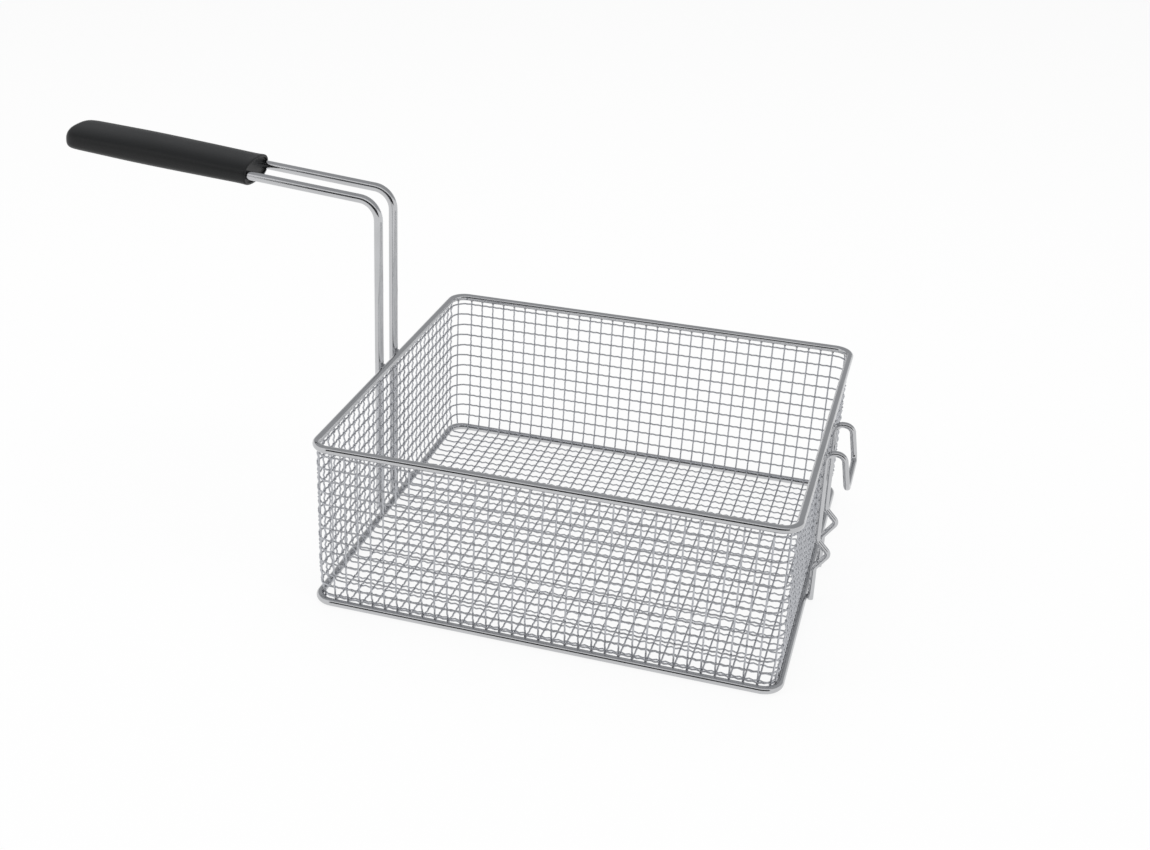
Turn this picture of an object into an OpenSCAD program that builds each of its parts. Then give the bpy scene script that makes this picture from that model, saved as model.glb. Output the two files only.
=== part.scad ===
// Deep fryer basket: a wide, shallow basket of crimped woven wire, held between a round
// rim rod and a round foot rod. A bent rod handle with a moulded grip rises at one end,
// and a bent wire hanger is fixed to the other end.
// X runs from the handle (minus) to the hanger (plus), Y across, Z up.
// The origin is the middle of the basket on the surface that it stands on.

/* [Basket] */
// Length of the rim, from rod centre to rod centre
basket_l = 298; // [240:1:360]
// Width of the rim, from rod centre to rod centre
basket_w = 274; // [220:1:320]
// Height of the rim rod's centre above the foot rod's centre
basket_h = 110; // [90:0.5:140]
// Diameter of the rim rod
rim_d = 5; // [4:0.1:6]
// Diameter of the foot rod
foot_d = 5; // [4:0.1:6]
// Corner radius of both rods, to the rod's centre
corner_r = 11; // [9:0.5:20]

/* [Woven wire] */
// Thickness of a mesh wire
wire_d = 1.4; // [1:0.1:1.8]
// Spacing of the wires in the four walls
wall_cell = 17; // [14:0.5:24]
// Spacing of the wires in the floor
floor_cell = 27.5; // [24:0.5:36]
// Height of the floor's middle plane above the surface
floor_z = 2.2; // [2.1:0.1:2.6]
// How deep a mesh wire is sunk in the rod that it is welded to
weld_sink = 0.1; // [0.05:0.05:0.2]
// How deep crossing wires press into each other
wire_bite = 0.14; // [0.1:0.02:0.2]
// How far inside the rods' centre lines the wall cloth stands
cloth_in = 1.2; // [0.8:0.1:1.3]

/* [Handle rod] */
// Diameter of the handle rod
handle_d = 6; // [5:0.1:7]
// Distance between the two legs of the handle, centre to centre
leg_gap = 27; // [24:0.5:34]
// How far the handle's middle stands behind the middle of the basket
handle_y = 5.4; // [-10:0.1:10]
// Height of the handle's bend above the rim rod's centre
handle_rise = 117.5; // [80:0.5:150]
// Distance from the upright legs to the far side of the loop inside the grip
handle_reach = 222; // [200:1:280]
// Upward slope of the handle, in degrees
handle_slope = 4.6; // [0:0.1:12]
// Radius of the bend between upright and handle, to the rod's centre
bend_r = 14; // [10:0.5:20]

/* [Grip] */
// Length of the grip
grip_l = 139; // [120:1:170]
// Width of the grip at its mouth
grip_mouth_w = 38; // [36.5:0.5:44]
// Width of the grip towards its far end
grip_w = 41.5; // [38:0.5:48]
// Thickness of the grip at its mouth
grip_mouth_t = 16.4; // [15:0.2:18]
// Thickness of the grip where it is fullest
grip_full_t = 18; // [16:0.5:22]
// Plastic beyond the loop at the far end
grip_end_wall = 8; // [6:0.5:12]
// Corner radius of the far end, seen from above
grip_corner_r = 13; // [11:0.5:16]
// Depth of the recess in the mouth
mouth_depth = 7; // [3:0.5:12]
// Wall around the recess in the mouth
mouth_wall = 2.2; // [1.6:0.2:3]
// Clearance between the grip's channel and the handle rod
grip_fit = 0.1; // [0.05:0.05:0.3]

/* [Hanger] */
// Diameter of the hanger wire
hanger_d = 4; // [3:0.1:5]
// Distance between the hanger's two legs, centre to centre
hanger_w = 44; // [34:1:60]
// How far the arms go out from the tops of the legs
hanger_out = 11; // [11:0.5:20]
// How much further out the foot of the hanging loop is
hanger_lean = 4; // [2:0.5:9]
// Height of the hanging loop
hanger_drop = 24; // [21:0.5:34]
// Radius of the hanger's bends, to the wire's centre
hanger_r = 5.5; // [5:0.1:5.5]
// Height of the rest notch's upper end below the rim rod's centre
notch_top = 67; // [50:1:70]
// Height of the rest notch
notch_h = 21; // [18:0.5:26]
// How far the rest notch stands out
notch_out = 8.5; // [6:0.5:12]
// Radius of the rest notch's bends, to the wire's centre
notch_r = 3.5; // [3:0.5:4.5]

/* [Hidden] */
$fn = 32;

half_l = basket_l / 2;
half_w = basket_w / 2;
foot_z = foot_d / 2;
rim_z = foot_z + basket_h;

// The wall cloth stands between the two rods, and its corners share their centres
cloth_r = corner_r - cloth_in;
crimp = wire_d - wire_bite;
wire_lo = foot_z + rod_face(foot_d) - weld_sink;
wire_hi = rim_z - rod_face(rim_d) + weld_sink;
// Height of a rod's surface above its centre line, over the cloth's inner face
function rod_face(d) = sqrt(pow(d / 2, 2) - pow(cloth_in + wire_d / 2, 2));
rows = floor(basket_h / wall_cell);
row_lo = foot_z + (basket_h - (rows - 1) * wall_cell) / 2;

// The floor cloth: its wires end on the foot rod
floor_in = foot_d / 2 - weld_sink;

// The handle: its legs touch the outside of both rods
leg_x = -half_l - max(rim_d, foot_d) / 2 - handle_d / 2 + weld_sink;
bend_z = rim_z + handle_rise;
loop_r = leg_gap / 2 - 0.5;
grip_start = handle_reach + handle_d / 2 + grip_end_wall - grip_l;

// The hanger: its legs start under the rim rod and end outside the foot rod
hanger_top = rim_z - rim_d / 2 - hanger_d / 2 + weld_sink;
hanger_x = half_l - cloth_in + crimp + wire_d / 2 + hanger_d / 2;
hanger_foot_x = half_l + foot_d / 2 + hanger_d / 2 - weld_sink;
hanger_lo = foot_z - 1.5;
function lean_x(z) = hanger_x + (hanger_foot_x - hanger_x) * (hanger_top - z) / (hanger_top - hanger_lo);

lap = 0.2;
lap_step = 0.01;

steel = [0.72, 0.74, 0.76];
steel_wire = [0.62, 0.65, 0.68];
black = [0.10, 0.10, 0.11];

// A straight round rod from a to b
module rod(a, b, d) {
    v = b - a;
    len = norm(v);
    translate(a)
        rotate([0, acos(v[2] / len), atan2(v[1], v[0])])
            cylinder(h = len, d = d);
}

// A round rod bent in the XY plane about the origin, from angle 0 to turn
module bend(r, d, turn) {
    rotate_extrude(angle = turn) translate([r, 0]) circle(d = d);
}

function unit(v) = v / norm(v);
function turn_at(p, i) = 180 - acos(unit(p[i - 1] - p[i]) * unit(p[i + 1] - p[i]));
function cut_at(p, r, i) =
    i == 0 || i == len(p) - 1 ? 0 : r[i] * tan(turn_at(p, i) / 2) - lap;

// A round rod through the points p, bent at each inner point to the radius that r gives
// for it. The straight stretches run a short way into the bends, a hair thinner.
module bent_rod(p, r, d) {
    for (i = [0:len(p) - 2]) {
        along = unit(p[i + 1] - p[i]);
        rod(p[i] + along * cut_at(p, r, i), p[i + 1] - along * cut_at(p, r, i + 1), d - 2 * lap_step);
    }
    for (i = [1:len(p) - 2]) {
        u = unit(p[i - 1] - p[i]);
        v = unit(p[i + 1] - p[i]);
        turn = turn_at(p, i);
        centre = p[i] + unit(u + v) * r[i] / cos(turn / 2);
        n = unit(cross(v, u));
        x = unit(p[i] + u * r[i] * tan(turn / 2) - centre);
        y = cross(n, x);
        multmatrix([
            [x[0], y[0], n[0], centre[0]],
            [x[1], y[1], n[1], centre[1]],
            [x[2], y[2], n[2], centre[2]]
        ]) bend(r[i], d, turn);
    }
}

// A closed rod frame with rounded corners, at height z
module rod_frame(l, w, r, d, z) {
    hl = l / 2 - r;
    hw = w / 2 - r;
    translate([0, 0, z]) {
        for (s = [-1, 1]) {
            rod([-hl, s * w / 2, 0], [hl, s * w / 2, 0], d);
            rod([s * l / 2, -hw, 0], [s * l / 2, hw, 0], d);
        }
        for (q = [0:3])
            translate([(q == 0 || q == 3 ? hl : -hl), (q < 2 ? hw : -hw), 0])
                rotate([0, 0, 90 * q]) bend(r, d, 90);
    }
}

// One wall of the cloth, seen from outside: half_len is half of its flat stretch, and
// its crosswise wires go on round half of each corner.
// The flat stretch lies along X at y = 0, and outside is minus Y.
module wall_cloth(half_len, cells, parity) {
    step = 2 * half_len / cells;
    last = parity + cells;
    for (i = [0:cells])
        translate([-half_len + i * step - wire_d / 2, -wire_d / 2, wire_lo])
            cube([wire_d, wire_d, wire_hi - wire_lo]);
    for (j = [0:rows - 1]) {
        flip = j % 2 == 0 ? 1 : -1;
        // each entry: x, y of the middle line, the outward direction, the wire's offset
        path = concat(
            [for (k = [2, 1]) corner_point(-1, half_len, 22.5 * k, crimp * flip * sgn(parity) * (1 - k / 2))],
            [for (i = [0:cells]) [-half_len + i * step, 0, 0, -1, crimp * flip * sgn(parity + i)]],
            [for (k = [1, 2]) corner_point(1, half_len, 22.5 * k, crimp * flip * sgn(last) * (1 - k / 2))]
        );
        translate([0, 0, row_lo + j * wall_cell - wire_d / 2])
            linear_extrude(wire_d)
                polygon(concat(
                    [for (p = path) side_point(p, wire_d / 2)],
                    [for (k = [len(path) - 1:-1:0]) side_point(path[k], -wire_d / 2)]
                ));
    }
}

function sgn(n) = n % 2 == 0 ? 1 : -1;
function corner_point(side, half_len, a, off) =
    [side * (half_len + cloth_r * sin(a)), cloth_r * (1 - cos(a)), side * sin(a), -cos(a), off];
function side_point(p, t) = [p[0] + p[2] * (p[4] + t), p[1] + p[3] * (p[4] + t)];

long_half = half_l - cloth_in - cloth_r;
short_half = half_w - cloth_in - cloth_r;
long_cells = round(2 * long_half / wall_cell);
short_cells = round(2 * short_half / wall_cell);

module rim_rod() {
    color(steel) rod_frame(basket_l, basket_w, corner_r, rim_d, rim_z);
}

module foot_rod() {
    color(steel) rod_frame(basket_l, basket_w, corner_r, foot_d, foot_z);
}

module front_mesh() {
    color(steel_wire) translate([0, -half_w + cloth_in, 0]) wall_cloth(long_half, long_cells, 0);
}

module back_mesh() {
    color(steel_wire) rotate([0, 0, 180]) translate([0, -half_w + cloth_in, 0])
        wall_cloth(long_half, long_cells, 1);
}

module hanger_end_mesh() {
    color(steel_wire) rotate([0, 0, 90]) translate([0, -half_l + cloth_in, 0])
        wall_cloth(short_half, short_cells, 1);
}

module handle_end_mesh() {
    color(steel_wire) rotate([0, 0, -90]) translate([0, -half_l + cloth_in, 0])
        wall_cloth(short_half, short_cells, 0);
}

// The floor: straight wires along Y, and crimped wires along X that pass over and under them
module floor_mesh() {
    end_x = half_l - floor_in;
    end_y = half_w - floor_in;
    nx = floor(2 * end_x / floor_cell);
    ny = floor(2 * end_y / floor_cell);
    first_x = -(nx - 1) * floor_cell / 2;
    first_y = -(ny - 1) * floor_cell / 2;
    color(steel_wire) {
        for (i = [0:nx - 1])
            translate([first_x + i * floor_cell - wire_d / 2, -end_y, floor_z - wire_d / 2])
                cube([wire_d, 2 * end_y, wire_d]);
        for (j = [0:ny - 1]) {
            wave = concat([[-end_x, 0]],
                [for (i = [0:nx - 1]) [first_x + i * floor_cell, crimp * sgn(i + j)]],
                [[end_x, 0]]);
            translate([0, first_y + j * floor_cell + wire_d / 2, floor_z])
                rotate([90, 0, 0])
                    linear_extrude(wire_d)
                        polygon(concat(
                            [for (p = wave) p + [0, -wire_d / 2]],
                            [for (k = [len(wave) - 1:-1:0]) wave[k] + [0, wire_d / 2]]
                        ));
        }
    }
}

// The handle rod, thickened by extra all round: up from the foot rod, out along the slope,
// round the loop inside the grip, and back the same way
module handle_path(extra = 0) {
    far = [leg_x - handle_reach * cos(handle_slope), bend_z + handle_reach * sin(handle_slope)];
    y = [for (s = [-1, 1]) handle_y + s * leg_gap / 2];
    points = [
        [leg_x, y[0], foot_z - 1],
        [leg_x, y[0], bend_z],
        [far[0], y[0], far[1]],
        [far[0], y[1], far[1]],
        [leg_x, y[1], bend_z],
        [leg_x, y[1], foot_z - 1]
    ];
    bent_rod(points, [0, bend_r, loop_r, loop_r, bend_r, 0], handle_d + 2 * extra);
}

module handle_rod() {
    color(steel) handle_path();
}

// A round pill of radius r and half thickness h, with full edges
module pill(r, h) {
    rotate_extrude()
        polygon([for (a = [-90:15:90]) [r * pow(cos(a), 0.7), h * sgn_of(a) * pow(abs(sin(a)), 0.8)]]);
}

function sgn_of(a) = a < 0 ? -1 : 1;

// The grip: a flattened, slightly crowned sleeve, closed and well rounded at its far end
module grip() {
    near = -grip_start;
    far = -grip_start - grip_l;
    full = near - grip_l * 0.62;
    full_w = grip_mouth_w + (grip_w - grip_mouth_w) * 0.62;
    mr = grip_mouth_t / 2;
    fr = grip_full_t / 2;
    color(black) difference() {
        translate([leg_x, handle_y, bend_z]) rotate([0, handle_slope, 0]) difference() {
            hull() for (s = [-1, 1]) {
                translate([near - 1.5, s * (grip_mouth_w / 2 - mr), 0]) rotate([0, 90, 0])
                    cylinder(h = 1.5, r1 = mr, r2 = mr - 1);
                translate([full, s * (full_w / 2 - fr), 0]) rotate([0, 90, 0])
                    cylinder(h = 1, r = fr);
                translate([far + grip_corner_r, s * (grip_w / 2 - grip_corner_r), 0])
                    pill(grip_corner_r, fr - 0.6);
            }
            hull() for (s = [-1, 1])
                translate([near - mouth_depth, s * (grip_mouth_w / 2 - mr), 0]) rotate([0, 90, 0])
                    cylinder(h = mouth_depth + 1, r = mr - mouth_wall);
        }
        handle_path(grip_fit);
    }
}

// The hanger: one wire from the foot rod up the end wall, round the rest notch, out under
// the rim, down, across, and back the same way on the other side
module hanger() {
    low_z = hanger_top - hanger_drop;
    notch_z = rim_z - notch_top;
    tip_z = notch_z - notch_h * 0.44;
    back_z = notch_z - notch_h;
    y = hanger_w / 2;
    side = [
        [lean_x(hanger_lo), -y, hanger_lo],
        [lean_x(back_z), -y, back_z],
        [lean_x(tip_z) + notch_out, -y, tip_z],
        [lean_x(notch_z), -y, notch_z],
        [hanger_x, -y, hanger_top],
        [hanger_x + hanger_out, -y, hanger_top],
        [hanger_x + hanger_out + hanger_lean, -y, low_z]
    ];
    turns = [0, notch_r, notch_r, notch_r, hanger_r, hanger_r, hanger_r];
    count = len(side);
    color(steel)
        bent_rod(
            concat(side, [for (k = [count - 1:-1:0]) [side[k][0], y, side[k][2]]]),
            concat(turns, [for (k = [count - 1:-1:0]) turns[k]]),
            hanger_d
        );
}

rim_rod();
foot_rod();
front_mesh();
back_mesh();
handle_end_mesh();
hanger_end_mesh();
floor_mesh();
handle_rod();
grip();
hanger();
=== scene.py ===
# %% [markdown]
# # A deep fryer basket
# This notebook dresses the solid model of a woven wire basket. The rods, the handle and the
# hanger come from the solids as they are and get a steel finish. The wire cloth, its welds
# and the grip are modelled here, because their fine shape is what the eye looks for.

import math

import bpy
from mathutils import Matrix, Vector


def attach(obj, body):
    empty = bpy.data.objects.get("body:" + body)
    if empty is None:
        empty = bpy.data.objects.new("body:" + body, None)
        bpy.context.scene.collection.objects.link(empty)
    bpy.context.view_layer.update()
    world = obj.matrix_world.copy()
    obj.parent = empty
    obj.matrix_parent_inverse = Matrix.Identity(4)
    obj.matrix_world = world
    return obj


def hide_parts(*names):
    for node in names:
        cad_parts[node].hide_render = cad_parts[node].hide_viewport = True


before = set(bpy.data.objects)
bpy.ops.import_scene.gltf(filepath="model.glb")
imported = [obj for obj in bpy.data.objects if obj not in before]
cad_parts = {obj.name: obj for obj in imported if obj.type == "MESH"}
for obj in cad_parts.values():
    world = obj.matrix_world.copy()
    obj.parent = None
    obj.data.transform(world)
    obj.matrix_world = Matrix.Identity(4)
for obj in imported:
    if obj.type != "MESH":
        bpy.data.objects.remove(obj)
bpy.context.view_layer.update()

# %% [markdown]
# ## The camera
# The photograph looks down into the basket from the front right, with a lens of about 49 mm.
# The camera's three directions and its place come from lining up the rim, the foot and the
# handle. The picture was widened on its right, which a small sideways shift of the lens
# repeats.

# %% The camera
to_the_right = Vector((0.946169, 0.323251, 0.016504))
downwards = Vector((0.156526, -0.412335, -0.897485))
ahead = Vector((-0.283307, 0.851756, -0.440736))
turned = Matrix((to_the_right, -downwards, -ahead)).transposed()
bpy.ops.object.camera_add(
    location=(0.20721, -0.91738, 0.54843), rotation=turned.to_euler()
)
camera = bpy.context.object
camera.name = "photo_camera"
focus_in_pixels, picture_width, sensor_width = 1554.6, 1150, 36
camera.data.lens = focus_in_pixels / picture_width * sensor_width
camera.data.shift_x = 0.1
bpy.context.scene.camera = camera
bpy.context.scene.view_settings.view_transform = "Standard"
print("lens", round(camera.data.lens, 2), "mm")

# %% [markdown]
# ## Drawing a wire
# Every wire of the cloth is a round section pushed along a bent line, as wire is drawn and
# then crimped. A disc is added at one end and extruded one stretch at a time. At each bend
# the section is turned by half of the bend, so the wire keeps its thickness. Each line lies
# in one plane, so a single axis is enough for all of its turns.

# %% A disc, extruded along a line
MM = 0.001
WIRE_SIDES = 5
STRAIGHT = 1e-4


def only(piece):
    """Selects one piece and makes it the active one."""
    bpy.ops.object.select_all(action="DESELECT")
    piece.select_set(True)
    bpy.context.view_layer.objects.active = piece


def draw_wire(name, line, thickness, turn_axis):
    """A round wire along a line of points that lies in one plane, across turn_axis."""
    line = [Vector(point) for point in line]
    ahead_of = [(b - a).normalized() for a, b in zip(line, line[1:])]
    facing = [ahead_of[0]]
    facing += [(a + b).normalized() for a, b in zip(ahead_of, ahead_of[1:])]
    facing += [ahead_of[-1]]
    axis = {"X": Vector((1, 0, 0)), "Y": Vector((0, 1, 0)), "Z": Vector((0, 0, 1))}[turn_axis]
    across = axis.cross(facing[0])
    lying = Matrix((axis, across, axis.cross(across))).transposed()
    if lying.col[2].dot(facing[0]) < 0:
        lying = Matrix((axis, -across, axis.cross(-across))).transposed()
    bpy.ops.object.select_all(action="DESELECT")
    bpy.ops.mesh.primitive_circle_add(
        vertices=WIRE_SIDES,
        radius=thickness / 2,
        fill_type="NGON",
        location=line[0],
        rotation=lying.to_euler(),
    )
    wire = bpy.context.object
    wire.name = name
    bpy.ops.object.transform_apply(location=True, rotation=True, scale=True)
    bpy.ops.object.mode_set(mode="EDIT")
    for here, there, before, after in zip(line, line[1:], facing, facing[1:]):
        bpy.ops.mesh.extrude_region_move(TRANSFORM_OT_translate={"value": there - here})
        turn = math.atan2(before.cross(after).dot(axis), before.dot(after))
        if abs(turn) > STRAIGHT:
            bpy.ops.transform.rotate(value=-turn, orient_axis=turn_axis, center_override=there)
    bpy.ops.mesh.select_all(action="SELECT")
    bpy.ops.mesh.normals_make_consistent(inside=False)
    bpy.ops.object.mode_set(mode="OBJECT")
    return wire


def repeat(piece, count, step):
    """Copies a piece count times in a row, a step apart, and keeps the row as one mesh."""
    only(piece)
    row = piece.modifiers.new("row", "ARRAY")
    row.count = count
    row.use_relative_offset = False
    row.use_constant_offset = True
    row.constant_offset_displace = step
    bpy.ops.object.modifier_apply(modifier="row")
    return piece


def join(name, pieces):
    """Makes one named mesh of several."""
    bpy.ops.object.select_all(action="DESELECT")
    for piece in pieces:
        piece.select_set(True)
    bpy.context.view_layer.objects.active = pieces[0]
    bpy.ops.object.join()
    pieces[0].name = name
    return pieces[0]


# %% [markdown]
# ## The cloth's measures
# The cloth is crimped mesh of 1.2 mm wire at 8.5 mm spacing. Three families of wire cross:
# thirteen rings run round the four walls, crosswise wires go down the front wall, under the
# food and up the back wall, and lengthwise wires do the same between the two end walls.
# Every wire is pressed to waves before it is woven, three bends to a mesh. It lies deepest
# where it crosses another wire, and the two smaller bends between lock the mesh. The walls
# stand under the rim rod and lean in at the bottom, to pass inside the foot rod.

# %% Wire sizes and places
wire = 1.2 * MM
rim_z = 112.5 * MM
pitch, floor_pitch = 8.5 * MM, 8.45 * MM
ring_z = [rim_z - 5.3 * MM - j * pitch for j in range(13)]
cross_x = [0.4 * MM + k * pitch for k in range(-16, 17)]
length_y = [125.6 * MM - k * floor_pitch for k in range(30, -1, -1)]
corner_x, corner_y, corner_round = 138 * MM, 126 * MM, 10.4 * MM
floor_z = 2.3 * MM
fold = 2.2 * MM
deep, slight = 0.6 * MM, 0.4 * MM
wire_top = rim_z - 1.0 * MM
lean_from, lean_reach, lean_most = 26 * MM, 21.5 * MM, 2.5 * MM
print(len(ring_z), "rings,", len(cross_x), "crosswise and", len(length_y), "lengthwise wires")


def crimp(at, side):
    """The three bends of one mesh: (place, height) before, on and after a crossing wire."""
    return [
        (at - pitch / 3, -side * slight),
        (at, side * deep),
        (at + pitch / 3, -side * slight),
    ]


def lean(z):
    """How far the walls have leaned in at the height z."""
    return lean_most * (max(0.0, lean_from - z) / lean_reach) ** 2


# %% [markdown]
# ## The rings
# A ring goes round the basket and passes outside one upright wire and inside the next. The
# next ring down does the opposite. So two rings are drawn, one of each kind, and repeated
# down the wall. The two lowest rings lean in with the wall and are drawn singly. Where a
# ring closes on itself its two end discs are taken away and the edges merged, so that it has
# no seam.

# %% Round the walls
arc = corner_round * math.pi / 2
sides_round = [2 * corner_x, arc, 2 * corner_y, arc] * 2
starts = [sum(sides_round[:k]) for k in range(9)]


def round_the_walls(s):
    """The place and the outward direction at a distance s along the middle line."""
    s = s % starts[8]
    k = max(i for i in range(8) if starts[i] <= s + 1e-9)
    t = s - starts[k]
    half_turn = k >= 4
    k = k % 4
    if k == 0:
        point, out = Vector((-corner_x + t, -corner_y - corner_round, 0)), Vector((0, -1, 0))
    elif k == 2:
        point, out = Vector((corner_x + corner_round, -corner_y + t, 0)), Vector((1, 0, 0))
    else:
        angle = (-90 if k == 1 else 0) * math.pi / 180 + t / corner_round
        middle = Vector((corner_x, -corner_y if k == 1 else corner_y, 0))
        out = Vector((math.cos(angle), math.sin(angle), 0))
        point = middle + out * corner_round
    return (-point, -out) if half_turn else (point, out)


def ring_line(first, tuck):
    """Every point of a ring: first is 1 where it starts outside, -1 where it starts inside."""
    corner_bends = (0, 0.5, 1, 0.5, 0)
    marks, side = [], first
    for half in (0, 4):
        turned_about = -1 if half else 1
        walls = ((half, corner_x, cross_x), (half + 2, corner_y, length_y))
        for wall, middle, crossings in walls:
            for place in sorted(turned_about * place for place in crossings):
                marks += crimp(starts[wall] + middle + place, side)
                side = -side
            for k, bend in enumerate(corner_bends):
                marks.append((starts[wall + 1] + arc * (k + 1) / 6, side * deep * bend))
            side = -side
    line = []
    for s, height in sorted(marks):
        point, out = round_the_walls(s)
        line.append(point + out * (height - tuck))
    return line + [line[0]]


def draw_ring(name, first, z):
    """One closed ring at the height z."""
    line = ring_line(first, lean(z))
    start = (line[0] + line[1]) / 2
    line = [start] + line[1:-1] + [line[0], start]
    ring = draw_wire(name, [p + Vector((0, 0, z)) for p in line], wire, "Z")
    only(ring)
    bpy.ops.object.mode_set(mode="EDIT")
    bpy.ops.mesh.select_all(action="DESELECT")
    bpy.ops.object.mode_set(mode="OBJECT")
    for face in ring.data.polygons:
        face.select = len(face.vertices) == WIRE_SIDES
    bpy.ops.object.mode_set(mode="EDIT")
    bpy.ops.mesh.select_mode(type="FACE")
    bpy.ops.mesh.delete(type="ONLY_FACE")
    bpy.ops.mesh.select_all(action="SELECT")
    bpy.ops.mesh.remove_doubles(threshold=0.05 * MM)
    bpy.ops.mesh.select_all(action="SELECT")
    bpy.ops.mesh.normals_make_consistent(inside=False)
    bpy.ops.object.mode_set(mode="OBJECT")
    return ring


down_two = (0, 0, -2 * pitch)
rings = [
    repeat(draw_ring("outer_rings", 1, ring_z[0]), len(ring_z[:-2:2]), down_two),
    repeat(draw_ring("inner_rings", -1, ring_z[1]), len(ring_z[1:-2:2]), down_two),
    draw_ring("tucked_ring", -1, ring_z[-2]),
    draw_ring("lowest_ring", 1, ring_z[-1]),
]
print("rings:", sum(len(ring.data.polygons) for ring in rings), "faces")

# %% [markdown]
# ## The folded wires
# A crosswise and a lengthwise wire share one outline: down one wall from the rim, leaning in
# at the bottom, round a small fold beside the foot rod, along the floor, and up the opposite
# wall. Each is drawn once for each side of the weave and repeated at twice the spacing.


# %% Down, under and up
def folded_line(wall, floor_marks, wall_side, floor_side):
    """(distance from the middle, z) along a folded wire, from one rim to the other."""
    descent = [(wall, wire_top)]
    for z in ring_z:
        descent += [(wall - lean(-at) + h, -at) for at, h in crimp(-z, wall_side)]
        wall_side = -wall_side
    descent = [p for p in descent if p[1] > floor_z + fold]
    low = wall - lean(floor_z + fold)
    for k in range(1, 7):
        angle = k * math.pi / 12
        reach = low - fold + fold * math.cos(angle)
        descent.append((reach, floor_z + fold - fold * math.sin(angle)))
    ground = []
    for at in floor_marks:
        ground += [(s, floor_z - h) for s, h in crimp(at, floor_side)]
        floor_side = -floor_side
    return [(-s, z) for s, z in descent] + ground + descent[::-1]


def crosswise(name, side, x):
    """A wire across the basket at x, down the front wall and up the back wall."""
    line = folded_line(corner_y + corner_round, length_y, side, -side)
    return draw_wire(name, [(x, s, z) for s, z in line], wire, "X")


def lengthwise(name, side, y):
    """A wire along the basket at y, down one end wall and up the other."""
    line = folded_line(corner_x + corner_round, cross_x, side, side)
    return draw_wire(name, [(s, y, z) for s, z in line], wire, "Y")


two_on, two_across = (2 * pitch, 0, 0), (0, 2 * floor_pitch, 0)
folded = [
    repeat(crosswise("cross_a", -1, cross_x[0]), len(cross_x[::2]), two_on),
    repeat(crosswise("cross_b", 1, cross_x[1]), len(cross_x[1::2]), two_on),
    repeat(lengthwise("length_a", -1, length_y[0]), len(length_y[::2]), two_across),
    repeat(lengthwise("length_b", 1, length_y[1]), len(length_y[1::2]), two_across),
]
print("folded wires:", sum(len(wires.data.polygons) for wires in folded), "faces")

# %% [markdown]
# ## The corner wires and the whole cloth
# One straight wire stands in each rounded corner of the basket, from the rim to the foot.
# The wires then become one piece, as the woven cloth is one piece on the real basket.

# %% Four corners, one cloth
corner_wires = []
for x in (-1, 1):
    for y in (-1, 1):
        line = []
        for z in (wire_top, 60 * MM, 26 * MM, 20 * MM, 13 * MM, 8 * MM, 3.5 * MM):
            reach = (corner_round - lean(z)) * math.sqrt(0.5)
            line.append((x * (corner_x + reach), y * (corner_y + reach), z))
        corner_wires.append(draw_wire("corner_wire", line, wire, "X"))
wire_cloth = join("wire_cloth", rings + folded + corner_wires)
only(wire_cloth)
bpy.ops.object.shade_smooth_by_angle(angle=math.radians(62))
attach(wire_cloth, "root")
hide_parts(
    "front_mesh", "back_mesh", "handle_end_mesh", "hanger_end_mesh", "floor_mesh"
)
print("wire cloth:", sum(len(f.vertices) - 2 for f in wire_cloth.data.polygons), "triangles")

# %% [markdown]
# ## The welds
# Each upright wire is spot welded to the underside of the rim rod and to the inside of the
# foot rod, which leaves a small pressed pad between wire and rod. The pad is a low ball,
# pressed in round its middle. It is modelled once for each side and copied along it. The
# handle's legs and the hanger's legs and arms have larger pads.

# %% Pads between wire and rod
WAIST, PINCH = 0.2, 0.86


def weld_pad(place, size, levels=6, segments=8):
    """A ball of the given half sizes, pressed in round its middle."""
    bpy.ops.object.select_all(action="DESELECT")
    bpy.ops.mesh.primitive_uv_sphere_add(
        segments=segments, ring_count=levels, radius=1, location=(0, 0, 0)
    )
    pad = bpy.context.object
    pad.name = "pad"
    bpy.ops.object.mode_set(mode="EDIT")
    bpy.ops.mesh.select_all(action="DESELECT")
    bpy.ops.object.mode_set(mode="OBJECT")
    for vertex in pad.data.vertices:
        vertex.select = abs(vertex.co.z) < WAIST
    bpy.ops.object.mode_set(mode="EDIT")
    bpy.ops.transform.resize(value=(PINCH, PINCH, 1))
    bpy.ops.mesh.select_all(action="SELECT")
    bpy.ops.transform.resize(value=size)
    bpy.ops.transform.translate(value=place)
    bpy.ops.object.mode_set(mode="OBJECT")
    return pad


pads = []
for low, tuck, size in ((110.0, 0, (1.0, 1.0, 0.7)), (3.8, 2.2, (0.9, 0.9, 1.1))):
    z, tuck, size = low * MM, tuck * MM, [length * MM for length in size]
    for side in (-1, 1):
        y = side * (corner_y + corner_round - tuck)
        first_pad = weld_pad((cross_x[0], y, z), size)
        pads.append(repeat(first_pad, len(cross_x), (pitch, 0, 0)))
        x = side * (corner_x + corner_round - tuck)
        first_pad = weld_pad((x, length_y[0], z), size)
        pads.append(repeat(first_pad, len(length_y), (0, floor_pitch, 0)))
        for end in (-1, 1):
            reach = (corner_round - tuck) * math.sqrt(0.5)
            place = (end * (corner_x + reach), side * (corner_y + reach), z)
            pads.append(weld_pad(place, size))

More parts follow.
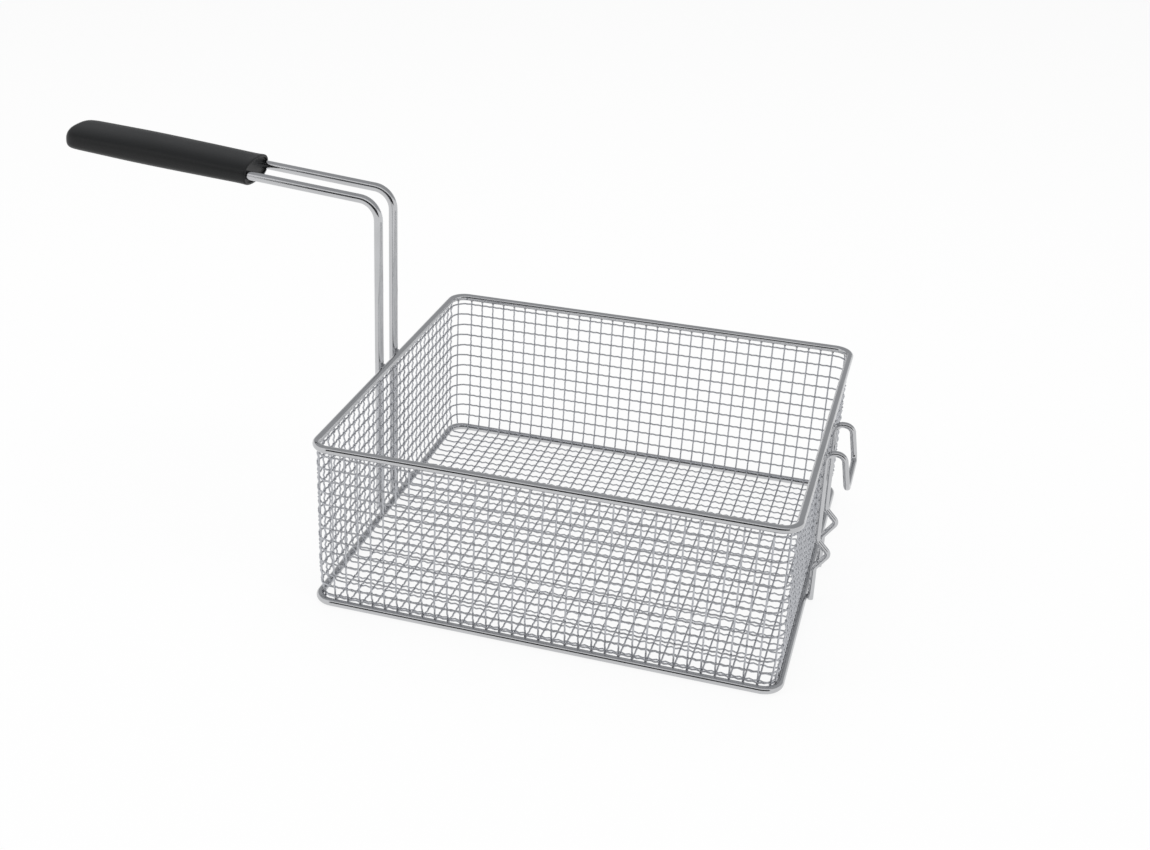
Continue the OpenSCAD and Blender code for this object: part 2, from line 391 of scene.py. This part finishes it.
leg_x, leg_y, handle_y, foot_z = -151.4 * MM, 13.5 * MM, 5.4 * MM, 2.6 * MM
arm_x, arm_y, arm_z, hanger_foot_x = 150.6 * MM, 22 * MM, 110 * MM, 151.4 * MM
for side in (-1, 1):
    for place, size in (
        ((leg_x, handle_y + side * leg_y, rim_z), (0.9 * MM, 3.4 * MM, 2.2 * MM)),
        ((leg_x, handle_y + side * leg_y, foot_z), (0.9 * MM, 3.4 * MM, 2.2 * MM)),
        ((arm_x, side * arm_y, arm_z), (1.6 * MM, 2.2 * MM, 0.6 * MM)),
        ((hanger_foot_x, side * arm_y, foot_z), (0.5 * MM, 2.0 * MM, 1.5 * MM)),
    ):
        pads.append(weld_pad(place, size, levels=10, segments=16))
welds = join("welds", pads)
only(welds)
bpy.ops.object.shade_smooth()
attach(welds, "root")
print("welds:", sum(len(f.vertices) - 2 for f in welds.data.polygons), "triangles")

# %% [markdown]
# ## The grip
# The grip is a moulded sleeve, flattened so that it doesn't roll in the hand. Its section is
# a rounded bar. It starts at the mouth with a slight flare, grows a little towards the palm
# and closes in a soft round end. So a disc is stretched to a stadium and extruded station by
# station, each time resized. The mouth is then inset and pushed in, which leaves the lip
# round the rods.

# %% The sleeve, station by station
grip_start, grip_length = 94 * MM, 138.4 * MM
far_round, edge_round, lip = 11 * MM, 5 * MM, 0.7 * MM
mouth_wide, widening = 18.95 * MM, 1.8 * MM
mouth_thick, swelling, thinning = 8.2 * MM, 0.75 * MM, 1.2 * MM
palm, behind_palm = 86 * MM, 53 * MM
flare, flare_length = 0.6 * MM, 8 * MM
end_power, end_thick = 2.6, 0.6


def rounding(s, radius):
    """1 along the sleeve, falling to 0 round its far end."""
    end = max(0.0, s - (grip_length - radius)) / radius
    return math.sqrt(max(0.0, 1 - end**end_power))


def sleeve_size(s):
    """Half width and half thickness of the sleeve at a distance s from its mouth."""
    wide = mouth_wide + widening * s / grip_length
    wide += far_round * (rounding(s, far_round) - 1)
    thick = mouth_thick + swelling * math.sin(min(1, s / palm) * math.pi / 2)
    thick -= thinning * max(0, s - palm) / behind_palm
    thick += flare * max(0, 1 - s / flare_length) ** 2
    thick *= end_thick + (1 - end_thick) * rounding(s, edge_round)
    trim = lip * (1 - min(1, s / lip)) ** 2
    return wide - trim, thick - trim


stations = [0, 0.2, 0.7, 2.5, 5, 8, 14, 30, 50, 68, 86, 104, 117, 126]
stations += [129, 131.5, 133.5, 135, 136.2, 137.2, 137.8, 138.1]
stations = [s * MM for s in stations]
sleeve_sides, squareness = 40, 2.7
bpy.ops.object.select_all(action="DESELECT")
bpy.ops.mesh.primitive_circle_add(
    vertices=sleeve_sides, radius=1, fill_type="NGON", rotation=(0, math.pi / 2, 0)
)
sleeve = bpy.context.object
sleeve.name = "grip_sleeve"
bpy.ops.object.transform_apply(location=True, rotation=True, scale=True)
wide, thick = sleeve_size(0)
for vertex in sleeve.data.vertices:
    y, z = vertex.co.y, vertex.co.z
    stretch = (abs(y) ** squareness + abs(z) ** squareness) ** (-1 / squareness)
    vertex.co = (0, wide * y * stretch, thick * z * stretch)
bpy.ops.object.mode_set(mode="EDIT")
for before, s in zip(stations, stations[1:]):
    (wide, thick), (wider, thicker) = sleeve_size(before), sleeve_size(s)
    bpy.ops.mesh.extrude_region_move(TRANSFORM_OT_translate={"value": (before - s, 0, 0)})
    bpy.ops.transform.resize(value=(1, wider / wide, thicker / thick), center_override=(-s, 0, 0))

# %% The mouth, pushed in
bpy.ops.mesh.select_all(action="DESELECT")
bpy.ops.object.mode_set(mode="OBJECT")
for face in sleeve.data.polygons:
    face.select = abs(face.center.x) < 1e-6 and len(face.vertices) == sleeve_sides
bpy.ops.object.mode_set(mode="EDIT")
bpy.ops.mesh.select_mode(type="FACE")
lip_widths, pushes = (1.0 * MM, 0.3 * MM), (0.4 * MM, 0.7 * MM, 0.4 * MM)
for width in lip_widths:
    bpy.ops.mesh.inset(thickness=width)
for push in pushes:
    bpy.ops.mesh.extrude_region_move(TRANSFORM_OT_translate={"value": (-push, 0, 0)})
bpy.ops.transform.resize(value=(1, 0.96, 0.92), center_override=(-sum(pushes), 0, 0))
bpy.ops.mesh.select_all(action="SELECT")
bpy.ops.mesh.normals_make_consistent(inside=False)
bpy.ops.object.mode_set(mode="OBJECT")
smooth = sleeve.modifiers.new("smooth", "SUBSURF")
smooth.levels = smooth.render_levels = 2
bpy.ops.object.modifier_apply(modifier="smooth")
bpy.ops.object.shade_smooth()
sleeve.location = (-grip_start, 0, 0)
bpy.ops.object.transform_apply(location=True, rotation=False, scale=False)
handle_bend_x, handle_bend_z, handle_slope = -154.4 * MM, 230 * MM, 4.6
sleeve.location = (handle_bend_x, handle_y, handle_bend_z)
sleeve.rotation_euler = (0, math.radians(handle_slope), 0)
bpy.ops.object.transform_apply(location=True, rotation=True, scale=False)
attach(sleeve, "root")
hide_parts("grip")
print("grip sleeve:", len(sleeve.data.polygons), "faces")

# %% [markdown]
# ## Writing a finish
# A finish is worked out as sums, such as a shade plus a little noise. Two small classes
# let those sums be written as plain maths, which adds the Math nodes by itself. Any other
# node comes from one method, which takes its settings first and then its values or links.


# %% Maths on sockets
class Reading:
    """The value of one socket."""

    def __init__(self, finish, socket):
        self.finish, self.socket = finish, socket

    def maths(self, operation, first, second):
        settings = {"operation": operation}
        return self.finish.node("ShaderNodeMath", settings, {0: first, 1: second})

    def __add__(self, other):
        return self.maths("ADD", self, other)

    __radd__ = __add__

    def __mul__(self, other):
        return self.maths("MULTIPLY", self, other)

    __rmul__ = __mul__


class Finish:
    """A material, and one way to add any node to it."""

    def __init__(self, name, **fixed):
        self.material = bpy.data.materials.new(name)
        self.material.use_nodes = True
        self.tree = self.material.node_tree
        self.shader = self.tree.nodes["Principled BSDF"]
        for socket, value in fixed.items():
            self.shader.inputs[socket.replace("_", " ")].default_value = value

    def node(self, kind, settings=None, values=None, output=0):
        made = self.tree.nodes.new(kind)
        for key, value in (settings or {}).items():
            setattr(made, key, value)
        for key, value in (values or {}).items():
            self.feed(made.inputs[key], value)
        return Reading(self, made.outputs[output])

    def feed(self, socket, value):
        if isinstance(value, Reading):
            self.tree.links.new(value.socket, socket)
        else:
            socket.default_value = value

    def noise(self, scale, detail):
        place = self.node("ShaderNodeTexCoord", output="Object")
        values = {"Vector": place, "Scale": scale, "Detail": detail}
        return self.node("ShaderNodeTexNoise", values=values)

    def between(self, factor, first, second):
        mix = self.tree.nodes.new("ShaderNodeMix")
        mix.data_type = "RGBA"
        self.feed(mix.inputs[0], factor)
        self.feed(mix.inputs[6], first)
        self.feed(mix.inputs[7], second)
        return Reading(self, mix.outputs[2])

    def set(self, socket, value):
        self.feed(self.shader.inputs[socket], value)


# %% [markdown]
# ## The rods' steel
# The rods are bright stainless steel. Drawing and polishing leave it slightly uneven, so
# its shade and its roughness drift a little, and a very fine grain breaks up the highlights.

# %% Polished rod
rod_steel = Finish("polished_rod_steel", Metallic=1.0)
cloudy = rod_steel.noise(45, 3)
rod_steel.set(
    "Base Color", rod_steel.between(cloudy, (0.47, 0.475, 0.485, 1), (0.58, 0.585, 0.60, 1))
)
rod_steel.set("Roughness", 0.08 + 0.10 * rod_steel.noise(160, 4))
grain = rod_steel.node(
    "ShaderNodeBump",
    values={"Strength": 0.12, "Distance": 0.0001, "Height": rod_steel.noise(900, 3)},
)
rod_steel.set("Normal", grain)

# %% [markdown]
# ## The cloth's steel
# The thin wires look greyer than the rods, because drawing dies and crimping rollers leave
# them rougher. Their shade changes from wire to wire.

# %% Crimped wire and welds
wire_steel = Finish("crimped_wire_steel", Metallic=1.0)
cloudy = wire_steel.noise(120, 3)
wire_steel.set(
    "Base Color", wire_steel.between(cloudy, (0.48, 0.49, 0.515, 1), (0.62, 0.632, 0.66, 1))
)
wire_steel.set("Roughness", 0.36 + 0.16 * wire_steel.noise(400, 3))

weld_steel = Finish("weld_steel", Metallic=1.0)
spots = weld_steel.noise(600, 4)
weld_steel.set(
    "Base Color", weld_steel.between(spots, (0.38, 0.385, 0.40, 1), (0.52, 0.525, 0.54, 1))
)
weld_steel.set("Roughness", 0.28 + 0.25 * spots)

# %% [markdown]
# ## The grip's plastic
# The grip is soft black plastic with a fine leathery grain. It isn't quite black, and its
# gloss changes in soft patches, where hands have worn it.

# %% Soft black plastic
grip_black = Finish("soft_black_plastic", Specular_IOR_Level=0.35)
patches = grip_black.noise(35, 3)
grip_black.set(
    "Base Color", grip_black.between(patches, (0.004, 0.0045, 0.005, 1), (0.007, 0.0075, 0.008, 1))
)
grip_black.set("Roughness", 0.40 + 0.12 * patches)
leather = grip_black.noise(700, 5)
grip_black.set(
    "Normal",
    grip_black.node(
        "ShaderNodeBump", values={"Strength": 0.25, "Distance": 0.00025, "Height": leather}
    ),
)


# %% Finishes on pieces
def put_on(piece, finish):
    """Gives a whole piece one finish."""
    if not piece.material_slots:
        piece.data.materials.append(finish.material)
    for place in piece.material_slots:
        place.material = finish.material


for name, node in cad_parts.items():
    if name.endswith("_mesh"):
        put_on(node, wire_steel)
    else:
        put_on(node, grip_black if name == "grip" else rod_steel)
put_on(wire_cloth, wire_steel)
put_on(welds, weld_steel)
put_on(sleeve, grip_black)
print("finishes:", [m.name for m in bpy.data.materials if m.users])

# %% [markdown]
# ## Floor, backdrop and light
# The basket stands on a pale floor before white. Bright metal shows what is round it, so a
# grey canopy overhead and a dark panel behind the camera, seen only in reflections, give the
# rods their grey upper halves and dark lines. A large lamp overhead and one at each side
# light the basket softly.


# %% Floor and world
def seen_directly(tree):
    """1 for rays from the camera, mirrors and glass, and 0 for others."""
    path = tree.nodes.new("ShaderNodeLightPath")
    total = None
    for name in ("Is Camera Ray", "Is Glossy Ray", "Is Transmission Ray"):
        if total is None:
            total = path.outputs[name]
            continue
        largest = tree.nodes.new("ShaderNodeMath")
        largest.operation = "MAXIMUM"
        tree.links.new(total, largest.inputs[0])
        tree.links.new(path.outputs[name], largest.inputs[1])
        total = largest.outputs[0]
    return total


bpy.ops.object.select_all(action="DESELECT")
bpy.ops.mesh.primitive_plane_add(size=12, location=(0, 0, -0.0003))
floor = bpy.context.object
floor.name = "studio_floor"
pale = bpy.data.materials.new("pale_floor")
pale.use_nodes = True
nodes, links = pale.node_tree.nodes, pale.node_tree.links
nodes.clear()
matt = nodes.new("ShaderNodeBsdfDiffuse")
matt.inputs["Color"].default_value = (0.86, 0.86, 0.86, 1)
white = nodes.new("ShaderNodeEmission")
white.inputs["Color"].default_value = (1, 1, 1, 1)
blend = nodes.new("ShaderNodeMixShader")
own_white = 0.9
share = nodes.new("ShaderNodeMath")
share.operation = "MULTIPLY"
share.inputs[1].default_value = own_white
links.new(seen_directly(pale.node_tree), share.inputs[0])
links.new(share.outputs[0], blend.inputs[0])
links.new(matt.outputs[0], blend.inputs[1])
links.new(white.outputs[0], blend.inputs[2])
links.new(blend.outputs[0], nodes.new("ShaderNodeOutputMaterial").inputs["Surface"])
floor.data.materials.append(pale)

world = bpy.data.worlds.new("studio")
bpy.context.scene.world = world
world.use_nodes = True
sky = world.node_tree.nodes["Background"]
sky.inputs["Color"].default_value = (1, 1, 1, 1)
strength = world.node_tree.nodes.new("ShaderNodeMath")
strength.operation = "MULTIPLY_ADD"
world_light, world_seen = 0.55, 1.0
strength.inputs[1].default_value = world_seen - world_light
strength.inputs[2].default_value = world_light
world.node_tree.links.new(seen_directly(world.node_tree), strength.inputs[0])
world.node_tree.links.new(strength.outputs[0], sky.inputs["Strength"])

# %% Panels that only the bright metal sees
def panel(name, place, tilt, wide, high, grey):
    """A flat glowing panel, wide along x and high across it, seen in reflections alone."""
    bpy.ops.mesh.primitive_plane_add(size=1, location=place, rotation=(math.radians(tilt), 0, 0))
    made = bpy.context.object
    made.name = name
    made.scale = (wide, high, 1)
    made.visible_camera = made.visible_shadow = made.visible_diffuse = False
    finish = bpy.data.materials.new(name + "_finish")
    finish.use_nodes = True
    finish.node_tree.nodes.clear()
    glow = finish.node_tree.nodes.new("ShaderNodeEmission")
    glow.inputs["Color"].default_value = grey
    output = finish.node_tree.nodes.new("ShaderNodeOutputMaterial")
    finish.node_tree.links.new(glow.outputs[0], output.inputs["Surface"])
    made.data.materials.append(finish)
    return made


canopy = panel("grey_canopy", (0, 0.95, 1.5), -21.8, 7, 4.85, (0.46, 0.465, 0.475, 1))
dark_panel = panel("dark_panel", (0.45, -1.35, 0.625), 90, 2.5, 1.01, (0.05, 0.05, 0.053, 1))

lit_place = Vector((0, 0, 0.1))


def lamp(name, place, size, watts):
    """A square lamp that faces the basket and doesn't show in the bright metal."""
    aim = (lit_place - Vector(place)).to_track_quat("-Z", "Y").to_euler()
    bpy.ops.object.light_add(type="AREA", location=place, rotation=aim)
    made = bpy.context.object
    made.name = name
    made.data.size = size
    made.data.energy = watts
    made.visible_glossy = False


lamp("top_lamp", (-0.1, 0.3, 2.2), 1.8, 22)
lamp("left_lamp", (-1.7, -1.2, 1.6), 1.0, 12)
lamp("right_lamp", (1.8, -0.9, 1.5), 1.0, 9)
